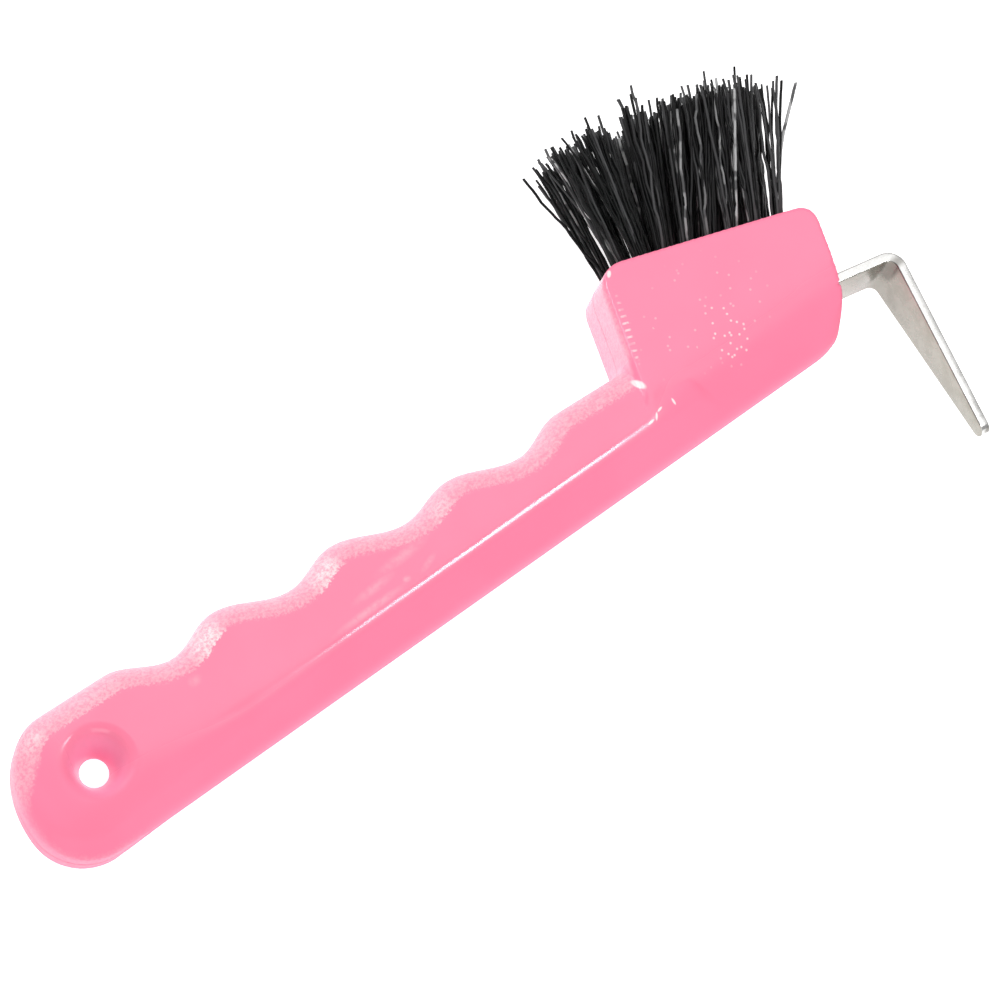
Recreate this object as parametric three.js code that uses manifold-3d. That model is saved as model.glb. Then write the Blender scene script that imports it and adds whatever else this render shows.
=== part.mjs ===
// Hoof pick with a brush, in millimetres, lying on the back of its head with +Z up.
//
// The handle and head are one plastic moulding. A bent steel strip leaves the head's far end. Tufts of stiff
// filament stand in the head's brush face, each held at the bottom of its hole by a flat wire anchor.
//
// The plan frame used below has its X axis along the straight palm edge, from the butt to the pick.
// Its Y axis points towards the fingers and the brush.
// Its Z axis runs through the thickness, with z = 0 at the parting plane.
// The last lines put the origin at the middle of the bottom of the bounding box.

import * as THREE from 'three';
import { mergeVertices } from 'three/addons/utils/BufferGeometryUtils.js';
import Module from 'manifold-3d';

// ---------------------------------------------------------------- driving dimensions

const GAP = 0.3; // between two pieces that touch on the real tool

// Handle, seen from above.
const HANDLE_THICKNESS = 17.6;
const HANDLE_EDGE_RADIUS = 5; // rounding of the finger side
const BUTT_LOW = { x: 11.5, y: 11.7, rx: 11.5, ry: 11.7 }; // ellipse on the palm side of the butt
const BUTT_HIGH = { x: 13.4, y: 11.7, rx: 13.4, ry: 18.3 }; // ellipse on the finger side of the butt
const GRIP_PITCH = 27; // from one finger hollow to the next
const GRIP_COUNT = 4;
const SHOULDER = { x: 28.5, y: 29.45 }; // end of the flat stretch between the butt and the first hollow
const FIRST_HOLLOW = { x: 42, y: 24.6, fall: 2.15 }; // each hollow is lower than the last by its fall
const FIRST_CREST = { x: 53, y: 27.55, fall: 2.5 };
const THUMB_REST_Y = 21.15; // height of the last crest
const THUMB_END_Y = 20.4; // height where the thumb rest meets the head
const HEAD_FILLET = 3; // between the thumb rest and the head
const HANDLE_OVERLAP = 12; // how far the handle's plan runs on inside the head

// Head: a block turned against the handle.
const HEAD_THICKNESS = 19;
const HEAD_TURN = THREE.MathUtils.degToRad(17); // of the brush face
const HEAD_END_TURN = THREE.MathUtils.degToRad(18); // of the two ends
const HEAD_CORNER = { x: 157.8, y: 40.03 }; // sharp corner of the brush face and the end that faces the butt
const HEAD_LENGTH = 48.4; // along the brush face
const HEAD_EDGE_RADIUS = 2.5;
// The ends and the brush face cut the edge's rounding off this far inside the place where it would end.
const HEAD_END_CUT = 0.4; // butt end
const HEAD_FACE_CUT = 1.9; // brush face and pick end, which leaves their edges nearly sharp
const HEAD_CORNER_NEAR = 5.8; // plan radius at the butt end of the brush face
const HEAD_CORNER_FAR = 3.7; // plan radius at the pick end of the brush face
const HEEL = { // the pick end bends in towards the palm edge and meets it at an angle
  direction: THREE.MathUtils.degToRad(47),
  height: 6, // of the bend's sharp corner, above the palm edge
  bendRadius: 17,
  cornerRadius: 3.5,
};

// Palm side: a sloping facet on each face, meeting in a rounded nose.
const FACET_WIDTH = 7.8; // from the palm edge to the handle's ridge
const FACET_DROP = 4.6; // from the face to the top of the nose's ellipse
const NOSE_RADIUS = 2.7; // of the nose's ellipse, across the palm edge

// Hanging hole with a bell mouth on both faces. The bell follows the middle part of an ellipse's quarter, so
// it has one edge at the neck and another at the mouth.
const HOLE = { x: 16.9, y: 15.5, neckRadius: 2.9, mouthRadius: 7, neckLength: 0.4 };
const BELL_START = THREE.MathUtils.degToRad(36);
const BELL_END = THREE.MathUtils.degToRad(70);

// Brush.
const ROW_Z = [-4.6, 0, 4.6];
const ROW_COLUMNS = [8, 7, 8]; // staggered
const COLUMN_PITCH = 5.05;
const FIRST_COLUMN = 6.3; // from the head's sharp corner to the first tuft
const FAN_FIRST = THREE.MathUtils.degToRad(-7); // lean of the first column, from the brush face's normal
const FAN_LAST = THREE.MathUtils.degToRad(13); // lean of the last column
const FAN_POWER = 2.2; // above 1, the columns open out more at the butt end
const ROW_LEAN = THREE.MathUtils.degToRad(3); // outward lean of the two outer rows
const TUFT_RADIUS = 1.4;
const TUFT_TIP_RADIUS = 2.45;
const TUFT_TIP_CHAMFER = { across: 0.8, along: 1.5 };
const TUFT_LENGTH_FIRST = 26.4; // above the brush face
const TUFT_LENGTH_LAST = 28.8;
const TUFT_CROWN = 3.2; // extra length in the middle
const HOLE_DEPTH = 12;
const ANCHOR = { length: 4, width: 1.8, thickness: 0.4, corner: 0.5, depth: 10 };

// Pick: a flat strip with one bend.
const STRIP_THICKNESS = 2;
const STRIP_WIDTH = 16;
const TIP = { width: 4.8, roundLength: 1.9 };
const TANG_SLOPE = THREE.MathUtils.degToRad(-10.5);
const BLADE_SLOPE = THREE.MathUtils.degToRad(-98.1);
const BEND = { x: 213.1, y: 8.75 }; // sharp meeting point of the strip's two outer faces
const BEND_RADIUS = 4; // outside
const TANG_LENGTH = 46; // from the sharp bend point to the end inside the head
const BLADE_LENGTH = 41.2; // from the sharp bend point to the tip
const TAPER_START = 4; // distance down the blade where the strip begins to narrow
const TANG_KEY = { radius: 3, fromEnd: 9 }; // hole in the tang that the moulding fills

// Straight steps on round stretches.
const CORNER_STEPS = 6;
const BUTT_STEPS = 12; // on each quarter of the butt
const GRIP_STEPS = 9; // between a hollow and a crest
const NOSE_STEPS = 8;
const HANDLE_EDGE_STEPS = 4;
const HEAD_EDGE_STEPS = 3;
const BELL_STEPS = 6;
const BELL_SIDES = 24;
const KEY_SIDES = 24;
const TUFT_HOLE_SIDES = 12;
const TUFT_SIDES = 8;
const TIP_STEPS = 10;

const OVERSHOOT = 10; // how far a cutter reaches past what it cuts

// ---------------------------------------------------------------- materials

const FINISHES = {
  pinkPlastic: { color: 0xff8fb1, roughness: 0.3, metalness: 0 },
  platedSteel: { color: 0xc4beb2, roughness: 0.32, metalness: 1 },
  blackFilament: { color: 0x17171a, roughness: 0.45, metalness: 0 },
  anchorWire: { color: 0xb9b6ae, roughness: 0.4, metalness: 1 },
};

// ---------------------------------------------------------------- solids and booleans

const manifold = await Module();
manifold.setup();

function solid(geometry) {
  const plain = geometry.clone();
  plain.deleteAttribute('normal');
  plain.deleteAttribute('uv');
  const merged = mergeVertices(plain, 1e-4);
  return new manifold.Manifold(new manifold.Mesh({
    numProp: 3,
    vertProperties: new Float32Array(merged.attributes.position.array),
    triVerts: new Uint32Array(merged.index.array),
  }));
}

function geometryOf(body) {
  const { vertProperties, triVerts } = body.getMesh();
  const geometry = new THREE.BufferGeometry();
  geometry.setAttribute('position', new THREE.BufferAttribute(new Float32Array(vertProperties), 3));
  geometry.setIndex(new THREE.BufferAttribute(new Uint32Array(triVerts), 1));
  geometry.computeVertexNormals();
  return geometry;
}

function namedMesh(name, geometry, finish) {
  const mesh = new THREE.Mesh(geometry, new THREE.MeshStandardMaterial(finish));
  mesh.name = name;
  return mesh;
}

// A plate of the given plan, centred on z = 0, with its edges rounded inside the plan.
function roundedPlate(plan, thickness, radius, segments) {
  const geometry = new THREE.ExtrudeGeometry(plan, {
    depth: thickness - 2 * radius,
    bevelThickness: radius,
    bevelSize: radius,
    bevelOffset: -radius,
    bevelSegments: segments,
  });
  return geometry.translate(0, 0, radius - thickness / 2);
}

// A prism of the given plan, centred on z = 0.
function prism(plan, thickness) {
  const geometry = new THREE.ExtrudeGeometry(plan, { depth: thickness, bevelEnabled: false });
  return geometry.translate(0, 0, -thickness / 2);
}

// ---------------------------------------------------------------- outlines

// Points on an ellipse, from one angle to the other, both ends included.
function ellipsePoints({ x, y, rx, ry }, from, to, steps) {
  const points = [];
  for (let i = 0; i <= steps; i += 1) {
    const angle = from + ((to - from) * i) / steps;
    points.push(new THREE.Vector2(x + rx * Math.cos(angle), y + ry * Math.sin(angle)));
  }
  return points;
}

// Points on the arc that rounds a sharp corner between two directions, from one tangent point to the other.
function cornerPoints(corner, before, after, radius, steps) {
  const turn = before.angleTo(after);
  const reach = radius * Math.tan(turn / 2);
  const start = corner.clone().addScaledVector(before, -reach);
  const side = Math.sign(before.cross(after));
  const centre = start.clone().add(new THREE.Vector2(-before.y, before.x).multiplyScalar(side * radius));
  const points = [];
  for (let i = 0; i <= steps; i += 1) {
    points.push(start.clone().rotateAround(centre, (side * turn * i) / steps));
  }
  return points;
}

// The finger side as hollows and crests in turn, with a level tangent at each of them.
function gripPoints(steps) {
  const stations = [SHOULDER];
  for (let i = 0; i < GRIP_COUNT; i += 1) {
    const last = i === GRIP_COUNT - 1;
    stations.push({ x: FIRST_HOLLOW.x + i * GRIP_PITCH, y: FIRST_HOLLOW.y - i * FIRST_HOLLOW.fall });
    stations.push({
      x: FIRST_CREST.x + i * GRIP_PITCH,
      y: last ? THUMB_REST_Y : FIRST_CREST.y - i * FIRST_CREST.fall,
    });
  }
  const points = [];
  for (let i = 0; i + 1 < stations.length; i += 1) {
    for (let k = 0; k < steps; k += 1) {
      const t = k / steps;
      const ease = (1 - Math.cos(Math.PI * t)) / 2;
      points.push(new THREE.Vector2(
        THREE.MathUtils.lerp(stations[i].x, stations[i + 1].x, t),
        THREE.MathUtils.lerp(stations[i].y, stations[i + 1].y, ease),
      ));
    }
  }
  const last = stations.at(-1);
  points.push(new THREE.Vector2(last.x, last.y));
  return points;
}

// Along the brush face, towards the pick, and out of the brush face.
const along = new THREE.Vector2(Math.cos(HEAD_TURN), -Math.sin(HEAD_TURN));
const outward = new THREE.Vector2(Math.sin(HEAD_TURN), Math.cos(HEAD_TURN));
const headCorner = new THREE.Vector2(HEAD_CORNER.x, HEAD_CORNER.y);
const endLine = new THREE.Vector2(Math.sin(HEAD_END_TURN), Math.cos(HEAD_END_TURN)); // of both ends

// Where the line of a head end meets a height above the palm edge.
function headEndAt(corner, height) {
  return corner.clone().addScaledVector(endLine, (height - corner.y) / endLine.y);
}

function handlePlan() {
  const right = new THREE.Vector2(1, 0);
  const junction = headEndAt(headCorner, THUMB_END_Y);
  const fillet = cornerPoints(junction, right, endLine, HEAD_FILLET, CORNER_STEPS);
  const inside = junction.clone().addScaledVector(along, HANDLE_OVERLAP);
  return new THREE.Shape([
    new THREE.Vector2(inside.x, 0),
    new THREE.Vector2(inside.x, fillet.at(-1).y),
    ...fillet.reverse(),
    ...gripPoints(GRIP_STEPS).reverse(),
    ...ellipsePoints(BUTT_HIGH, Math.PI / 2, Math.PI, BUTT_STEPS),
    ...ellipsePoints(BUTT_LOW, Math.PI, 1.5 * Math.PI, BUTT_STEPS).slice(1),
  ]);
}

// The head's outline from its sharp corner and the length of its brush face.
function headPlan(corner, length) {
  const back = along.clone().negate();
  const down = endLine.clone().negate();
  const right = new THREE.Vector2(1, 0);
  const slope = new THREE.Vector2(Math.cos(HEEL.direction), Math.sin(HEEL.direction));
  const farCorner = corner.clone().addScaledVector(along, length);
  const heelTop = headEndAt(farCorner, HEEL.height);
  const heelFoot = heelTop.clone().addScaledVector(slope, -HEEL.height / slope.y);
  return new THREE.Shape([
    headEndAt(corner, 0),
    ...cornerPoints(heelFoot, right, slope, HEEL.cornerRadius, CORNER_STEPS),
    ...cornerPoints(heelTop, slope, endLine, HEEL.bendRadius, CORNER_STEPS),
    ...cornerPoints(farCorner, endLine, back, HEAD_CORNER_FAR, CORNER_STEPS),
    ...cornerPoints(corner, back, down, HEAD_CORNER_NEAR, CORNER_STEPS),
  ]);
}

// Everything on the material side of the palm facets, which the handle and the head share, as a bar along X.
function palmBar() {
  const half = HANDLE_THICKNESS / 2;
  const noseEllipse = { x: NOSE_RADIUS, y: 0, rx: NOSE_RADIUS, ry: half - FACET_DROP };
  const nose = ellipsePoints(noseEllipse, (2 / 3) * Math.PI, (4 / 3) * Math.PI, NOSE_STEPS);
  const slope = (half - nose[0].y) / (FACET_WIDTH - nose[0].x);
  const top = HEAD_THICKNESS / 2 + OVERSHOOT;
  const topInset = FACET_WIDTH + (top - half) / slope;
  const farSide = HEAD_CORNER.y + OVERSHOOT;
  const length = BEND.x + 2 * OVERSHOOT;
  const section = new THREE.Shape([
    new THREE.Vector2(farSide, top),
    new THREE.Vector2(topInset, top),
    ...nose,
    new THREE.Vector2(topInset, -top),
    new THREE.Vector2(farSide, -top),
  ]);
  const bar = new THREE.ExtrudeGeometry(section, { depth: length, bevelEnabled: false });
  // The section's x runs along +Y and its y along +Z, so the depth runs along +X.
  const turn = new THREE.Matrix4().makeBasis(
    new THREE.Vector3(0, 1, 0), new THREE.Vector3(0, 0, 1), new THREE.Vector3(1, 0, 0),
  );
  return bar.applyMatrix4(turn).translate(-OVERSHOOT, 0, 0);
}

// ---------------------------------------------------------------- placing tufts

const headFrame = new THREE.Group(); // X along the brush face from its sharp corner, Y out of the face
headFrame.position.set(headCorner.x, headCorner.y, 0);
headFrame.rotation.z = -HEAD_TURN;
headFrame.updateMatrix();

// One entry for each tuft: its name, its length, and its place and lean in the head's frame.
function tuftPlaces() {
  const places = [];
  const widest = Math.max(...ROW_COLUMNS);
  ROW_Z.forEach((z, row) => {
    const stagger = (widest - ROW_COLUMNS[row]) / 2;
    for (let column = 0; column < ROW_COLUMNS[row]; column += 1) {
      const step = column + stagger;
      const t = step / (widest - 1); // 0 at the first column of a long row, 1 at the last
      const crown = 1 - (2 * t - 1) ** 2;
      places.push({
        label: `${['back', 'middle', 'front'][row]}_${column + 1}`,
        length: THREE.MathUtils.lerp(TUFT_LENGTH_FIRST, TUFT_LENGTH_LAST, t) + TUFT_CROWN * crown,
        position: new THREE.Vector3(FIRST_COLUMN + step * COLUMN_PITCH, 0, z),
        fan: THREE.MathUtils.lerp(FAN_LAST, FAN_FIRST, (1 - t) ** FAN_POWER),
        lean: Math.sign(z) * ROW_LEAN,
      });
    }
  });
  return places;
}

// Stands a piece whose axis is +Y on the brush face at a tuft's place.
function placeOnHead(object, { position, fan, lean }) {
  object.position.copy(position);
  object.rotation.set(lean, 0, -fan, 'ZXY');
  object.updateMatrix();
  return object;
}

// ---------------------------------------------------------------- the pieces

function tuftBlank(length) {
  const profile = [
    [0, GAP - HOLE_DEPTH],
    [TUFT_RADIUS, GAP - HOLE_DEPTH],
    [TUFT_RADIUS, 0],
    [TUFT_TIP_RADIUS, length - TUFT_TIP_CHAMFER.along],
    [TUFT_TIP_RADIUS - TUFT_TIP_CHAMFER.across, length],
    [0, length],
  ];
  return new THREE.LatheGeometry(profile.map(([r, y]) => new THREE.Vector2(r, y)), TUFT_SIDES);
}

// A wire anchor lies across the hole, turned 45 degrees so that neighbours clear each other.
function anchorGeometry() {
  const { length, width, thickness, corner } = ANCHOR;
  const plan = new THREE.Shape([
    new THREE.Vector2(-length / 2, width / 2),
    new THREE.Vector2(-length / 2, corner - width / 2),
    new THREE.Vector2(corner - length / 2, -width / 2),
    new THREE.Vector2(length / 2 - corner, -width / 2),
    new THREE.Vector2(length / 2, corner - width / 2),
    new THREE.Vector2(length / 2, width / 2),
  ]);
  return prism(plan, thickness).rotateY(Math.PI / 4).translate(0, -ANCHOR.depth, 0);
}

// The room an anchor needs, in the moulding and through the folded end of its tuft.
function anchorPocket() {
  const { length, width, thickness } = ANCHOR;
  const pocket = new THREE.BoxGeometry(length + 2 * GAP, width + 2 * GAP, thickness + 2 * GAP);
  return pocket.rotateY(Math.PI / 4).translate(0, -ANCHOR.depth, 0);
}

function tuftHole() {
  const radius = TUFT_RADIUS + GAP;
  const hole = new THREE.CylinderGeometry(radius, radius, HOLE_DEPTH + OVERSHOOT, TUFT_HOLE_SIDES);
  return hole.translate(0, (OVERSHOOT - HOLE_DEPTH) / 2, 0);
}

function hangingHole() {
  const reach = HANDLE_THICKNESS / 2;
  const bellWidth = (HOLE.mouthRadius - HOLE.neckRadius) / (Math.cos(BELL_START) - Math.cos(BELL_END));
  const bellHeight = (reach - HOLE.neckLength / 2) / (Math.sin(BELL_END) - Math.sin(BELL_START));
  const upper = [];
  for (let i = 0; i <= BELL_STEPS; i += 1) {
    const angle = THREE.MathUtils.lerp(BELL_START, BELL_END, i / BELL_STEPS);
    upper.push(new THREE.Vector2(
      HOLE.neckRadius + bellWidth * (Math.cos(BELL_START) - Math.cos(angle)),
      HOLE.neckLength / 2 + bellHeight * (Math.sin(angle) - Math.sin(BELL_START)),
    ));
  }
  upper.push(new THREE.Vector2(HOLE.mouthRadius, reach + OVERSHOOT));
  upper.push(new THREE.Vector2(0, reach + OVERSHOOT));
  const lower = upper.map((point) => new THREE.Vector2(point.x, -point.y)).reverse();
  const cutter = new THREE.LatheGeometry([...lower, ...upper], BELL_SIDES);
  return cutter.rotateX(Math.PI / 2).translate(HOLE.x, HOLE.y, 0);
}

const tangAlong = new THREE.Vector2(Math.cos(TANG_SLOPE), Math.sin(TANG_SLOPE));
const bladeAlong = new THREE.Vector2(Math.cos(BLADE_SLOPE), Math.sin(BLADE_SLOPE));
const tangInward = new THREE.Vector2(tangAlong.y, -tangAlong.x); // from the outer face through the strip
const bladeInward = new THREE.Vector2(bladeAlong.y, -bladeAlong.x);
const bend = new THREE.Vector2(BEND.x, BEND.y);
const tangEnd = bend.clone().addScaledVector(tangAlong, -TANG_LENGTH);

// A cylinder across the strip at the tang's keyed hole.
function keyCylinder(radius, height) {
  const centre = tangEnd.clone()
    .addScaledVector(tangAlong, TANG_KEY.fromEnd)
    .addScaledVector(tangInward, STRIP_THICKNESS / 2);
  return new THREE.CylinderGeometry(radius, radius, height, KEY_SIDES)
    .rotateZ(TANG_SLOPE)
    .translate(centre.x, centre.y, 0);
}

function pickGeometry() {
  const inset = STRIP_THICKNESS / (1 + tangInward.dot(bladeInward));
  const insideBend = bend.clone().addScaledVector(tangInward, inset).addScaledVector(bladeInward, inset);
  const insideRadius = BEND_RADIUS - STRIP_THICKNESS;
  const tip = bend.clone().addScaledVector(bladeAlong, BLADE_LENGTH);
  const side = prism(new THREE.Shape([
    tangEnd,
    ...cornerPoints(bend, tangAlong, bladeAlong, BEND_RADIUS, CORNER_STEPS),
    tip,
    tip.clone().addScaledVector(bladeInward, STRIP_THICKNESS),
    ...cornerPoints(insideBend, tangAlong, bladeAlong, insideRadius, CORNER_STEPS).reverse(),
    tangEnd.clone().addScaledVector(tangInward, STRIP_THICKNESS),
  ]), STRIP_WIDTH);

  // The width, in the blade's own plane: full over the tang, then narrowing to a rounded tip.
  const tipEllipse = { x: BLADE_LENGTH - TIP.roundLength, y: 0, rx: TIP.roundLength, ry: TIP.width / 2 };
  const width = new THREE.Shape([
    new THREE.Vector2(-OVERSHOOT, -STRIP_WIDTH),
    new THREE.Vector2(TAPER_START, -STRIP_WIDTH),
    new THREE.Vector2(TAPER_START, -STRIP_WIDTH / 2),
    ...ellipsePoints(tipEllipse, -Math.PI / 2, Math.PI / 2, TIP_STEPS),
    new THREE.Vector2(TAPER_START, STRIP_WIDTH / 2),
    new THREE.Vector2(TAPER_START, STRIP_WIDTH),
    new THREE.Vector2(-OVERSHOOT, STRIP_WIDTH),
  ]);
  const frame = new THREE.Matrix4().makeBasis(
    new THREE.Vector3(bladeAlong.x, bladeAlong.y, 0),
    new THREE.Vector3(0, 0, 1),
    new THREE.Vector3(bladeInward.x, bladeInward.y, 0),
  ).setPosition(bend.x, bend.y, 0);
  const taper = prism(width, 2 * (TANG_LENGTH + OVERSHOOT)).applyMatrix4(frame);

  const key = solid(keyCylinder(TANG_KEY.radius, OVERSHOOT));
  return geometryOf(solid(side).intersect(solid(taper)).subtract(key));
}

// The pocket around the tang, which is crossed by the moulding's own plug.
function tangPocket() {
  const length = TANG_LENGTH + GAP;
  const box = new THREE.BoxGeometry(length, STRIP_THICKNESS + 2 * GAP, STRIP_WIDTH + 2 * GAP);
  const centre = bend.clone()
    .addScaledVector(tangAlong, -length / 2)
    .addScaledVector(tangInward, STRIP_THICKNESS / 2);
  box.rotateZ(TANG_SLOPE).translate(centre.x, centre.y, 0);
  return solid(box).subtract(solid(keyCylinder(TANG_KEY.radius - GAP, OVERSHOOT)));
}

// The rounded edge belongs to an outline a little larger than the head's own.
function headBlock() {
  const corner = headCorner.clone()
    .addScaledVector(along, -HEAD_END_CUT)
    .addScaledVector(outward, HEAD_FACE_CUT);
  const outline = headPlan(corner, HEAD_LENGTH + HEAD_END_CUT + HEAD_FACE_CUT);
  const rounded = solid(roundedPlate(outline, HEAD_THICKNESS, HEAD_EDGE_RADIUS, HEAD_EDGE_STEPS));
  return rounded.intersect(solid(prism(headPlan(headCorner, HEAD_LENGTH), HEAD_THICKNESS)));
}

function mouldingGeometry(places) {
  const handle = solid(roundedPlate(handlePlan(), HANDLE_THICKNESS, HANDLE_EDGE_RADIUS, HANDLE_EDGE_STEPS));
  let body = handle.add(headBlock())
    .intersect(solid(palmBar()))
    .subtract(solid(hangingHole()))
    .subtract(tangPocket());
  const hole = tuftHole();
  const pocket = anchorPocket();
  for (const place of places) {
    const stand = placeOnHead(new THREE.Object3D(), place);
    const matrix = headFrame.matrix.clone().multiply(stand.matrix);
    body = body.subtract(solid(hole.clone().applyMatrix4(matrix)));
    body = body.subtract(solid(pocket.clone().applyMatrix4(matrix)));
  }
  return geometryOf(body);
}

// ---------------------------------------------------------------- assembly

const places = tuftPlaces();
const tool = new THREE.Group();
tool.add(namedMesh('handle_body', mouldingGeometry(places), FINISHES.pinkPlastic));
tool.add(namedMesh('pick_blade', pickGeometry(), FINISHES.platedSteel));

for (const place of places) {
  const bundle = solid(tuftBlank(place.length)).subtract(solid(anchorPocket()));
  const tuft = namedMesh(`tuft_${place.label}`, geometryOf(bundle), FINISHES.blackFilament);
  const anchor = namedMesh(`anchor_${place.label}`, anchorGeometry(), FINISHES.anchorWire);
  headFrame.add(placeOnHead(tuft, place), placeOnHead(anchor, place));
}
tool.add(headFrame);

// The origin goes to the middle of the bottom of the bounding box.
const box = new THREE.Box3().setFromObject(tool, true);
const middle = box.getCenter(new THREE.Vector3());
tool.position.set(-middle.x, -middle.y, -box.min.z);

export default tool;
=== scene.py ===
"""Hoof pick with a brush: the visible pieces, their materials, the studio and the camera.

Shapes are worked out in millimetres in a plan frame: X runs along the straight palm edge from the butt, Y
towards the fingers and the brush, and Z through the thickness from the parting plane. to_row() turns such
points into the frame's metres.
"""

import math
import random

import bpy
import numpy as np
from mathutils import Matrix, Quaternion, Vector


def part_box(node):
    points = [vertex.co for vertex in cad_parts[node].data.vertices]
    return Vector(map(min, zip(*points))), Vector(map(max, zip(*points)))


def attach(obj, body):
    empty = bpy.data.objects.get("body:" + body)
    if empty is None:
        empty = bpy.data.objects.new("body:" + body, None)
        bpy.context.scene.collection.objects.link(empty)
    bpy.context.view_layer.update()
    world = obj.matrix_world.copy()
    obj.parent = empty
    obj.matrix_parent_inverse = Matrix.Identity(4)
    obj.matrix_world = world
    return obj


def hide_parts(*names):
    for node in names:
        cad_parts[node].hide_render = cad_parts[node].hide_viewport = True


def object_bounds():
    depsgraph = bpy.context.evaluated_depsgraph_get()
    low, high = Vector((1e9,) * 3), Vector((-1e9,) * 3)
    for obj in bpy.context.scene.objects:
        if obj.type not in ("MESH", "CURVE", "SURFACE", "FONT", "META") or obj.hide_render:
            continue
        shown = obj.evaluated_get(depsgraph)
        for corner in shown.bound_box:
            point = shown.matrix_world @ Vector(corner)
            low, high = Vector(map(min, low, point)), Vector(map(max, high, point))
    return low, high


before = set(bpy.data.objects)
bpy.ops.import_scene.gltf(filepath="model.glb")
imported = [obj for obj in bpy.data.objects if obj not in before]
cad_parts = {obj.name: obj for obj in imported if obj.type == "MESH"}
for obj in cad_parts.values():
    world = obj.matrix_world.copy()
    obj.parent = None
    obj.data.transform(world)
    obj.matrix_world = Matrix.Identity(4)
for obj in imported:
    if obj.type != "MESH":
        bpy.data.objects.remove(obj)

CAD_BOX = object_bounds()

MM = 0.001

# ---------------------------------------------------------------- driving dimensions, in millimetres

GRID_STEP = 0.5  # of the moulding's surface
PARTING_STEP = 0.16  # finer, through the thickness, at the parting line
PARTING_LAYERS = 4  # of these finer steps on each side of it
LEAST_BLEND = 0.01  # where a blend dies away, so that nothing is divided by nought

HANDLE_THICKNESS = 17.6
EDGE_RADIUS = 6.0  # finger side: an arc that meets the face at a slight crease
EDGE_CREASE = 0.25  # height of that arc above the face, which sets the crease
CREASE_BLEND = 0.4  # softness of that crease
BUTT_LOW = (11.5, 11.7, 11.5, 11.7)  # ellipse x, y, rx, ry on the palm side of the butt
BUTT_HIGH = (13.4, 11.7, 13.4, 18.3)  # and on its finger side
GRIP_PITCH = 27.0
GRIP_COUNT = 4
SHOULDER = (28.5, 29.45)  # where the finger side starts to fall to its first hollow
FIRST_HOLLOW = (42.0, 24.6)
HOLLOW_FALL = 2.15  # each hollow is this much lower than the one before
FIRST_CREST = (53.0, 27.55)
CREST_FALL = 2.5  # and so is each crest
THUMB_REST_Y = 21.15  # the straight rest between the last hollow and the head starts at this height
THUMB_END_Y = 20.4  # and ends at this one
HEAD_FILLET = 3.0
HANDLE_OVERLAP = 12.0  # how far the handle's outline runs on inside the head

HEAD_THICKNESS = 19.0
HEAD_TURN = math.radians(17)  # of the brush face
HEAD_END_TURN = math.radians(18)  # of the two ends
HEAD_CORNER = (157.8, 40.03)  # where the brush face and the butt end would meet if it were sharp
HEAD_LENGTH = 48.4  # of the brush face, between sharp corners
HEAD_EDGE_RADIUS = 2.5
HEAD_END_CUT = 0.4  # how much of the edge's rounding the butt end cuts off
HEAD_FACE_CUT = 1.9  # the brush face and the pick end cut more off, so that their edges are nearly sharp
PALM_SPARE = 20.0  # how far the head's rounded outline runs on past the palm edge
HEAD_CORNER_NEAR = 5.8  # rounding of that corner
HEAD_CORNER_FAR = 3.7  # and of the brush face's other one
HEEL_DIRECTION = math.radians(47)  # of the slant between the palm edge and the pick end
HEEL_HEIGHT = 6.0  # where the slant would meet the pick end
HEEL_BEND_RADIUS = 17.0  # there
HEEL_CORNER_RADIUS = 3.5  # at the palm edge
HEAD_DRAFT = math.tan(math.radians(0.8))  # the walls lean in from the parting line
STEP_BLEND = 0.5  # softness of the step between handle and head

FACET_WIDTH = 7.8  # from the palm edge to the ridge
FACET_DROP = 4.6  # how much less the nose's half height is than the handle's
NOSE_RADIUS = 2.7  # depth of the palm edge's rounded nose
RIDGE_BLEND = 1.4  # softness of the ridge between facet and face
RIDGE_BLEND_AT_BUTT = 4.5
RIDGE_BLEND_ON_HEAD = 5.2
FACET_FADE = 5.0  # how far the facet moves outwards as it dies away round the butt

HOLE_CENTRE = (16.9, 15.5)
HOLE_NECK_RADIUS = 2.9
HOLE_MOUTH_RADIUS = 7.0
HOLE_NECK_LENGTH = 0.4
HOLE_BELL_START = math.radians(36)  # the bell follows the middle part of an ellipse's quarter
HOLE_BELL_END = math.radians(70)
HOLE_RIM_BLEND = 1.0

FINGER_FROST = 5.2  # width of the frosted band on the finger side
BUTT_FROST = 0.9  # and round the butt
SATIN_BORDER = 9.0  # extra width of the palm facet's satin border, on the head and round the butt

PARTING_DEPTH = 0.16
PARTING_WIDTH = 0.2

TUFT_HOLE_RADIUS = 1.7
TUFT_HOLE_DEPTH = 12.0

STRIP_THICKNESS = 2.0
STRIP_WIDTH = 16.0
STRIP_EDGE = 0.28  # rounding of the strip's edges
TIP_WIDTH = 4.8
TIP_ROUND = 1.9  # length of the tip's rounding
TIP_LEAST = 0.02  # half width of the tip's last section, as a share of the tip's own
TANG_SLOPE = math.radians(-10.5)
BLADE_SLOPE = math.radians(-98.1)
BEND = (213.1, 8.75)  # where the outer faces of the tang and the blade would meet
BEND_RADIUS = 4.0  # of the outer face
TANG_LENGTH = 46.0
BLADE_LENGTH = 41.2
TAPER_START = 4.0  # down the blade from the bend
KEY_RADIUS = 3.0  # of the tang's hole, which a plug of the moulding fills
KEY_FROM_END = 9.0
SLOT_CLEARANCE = 0.06

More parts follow.
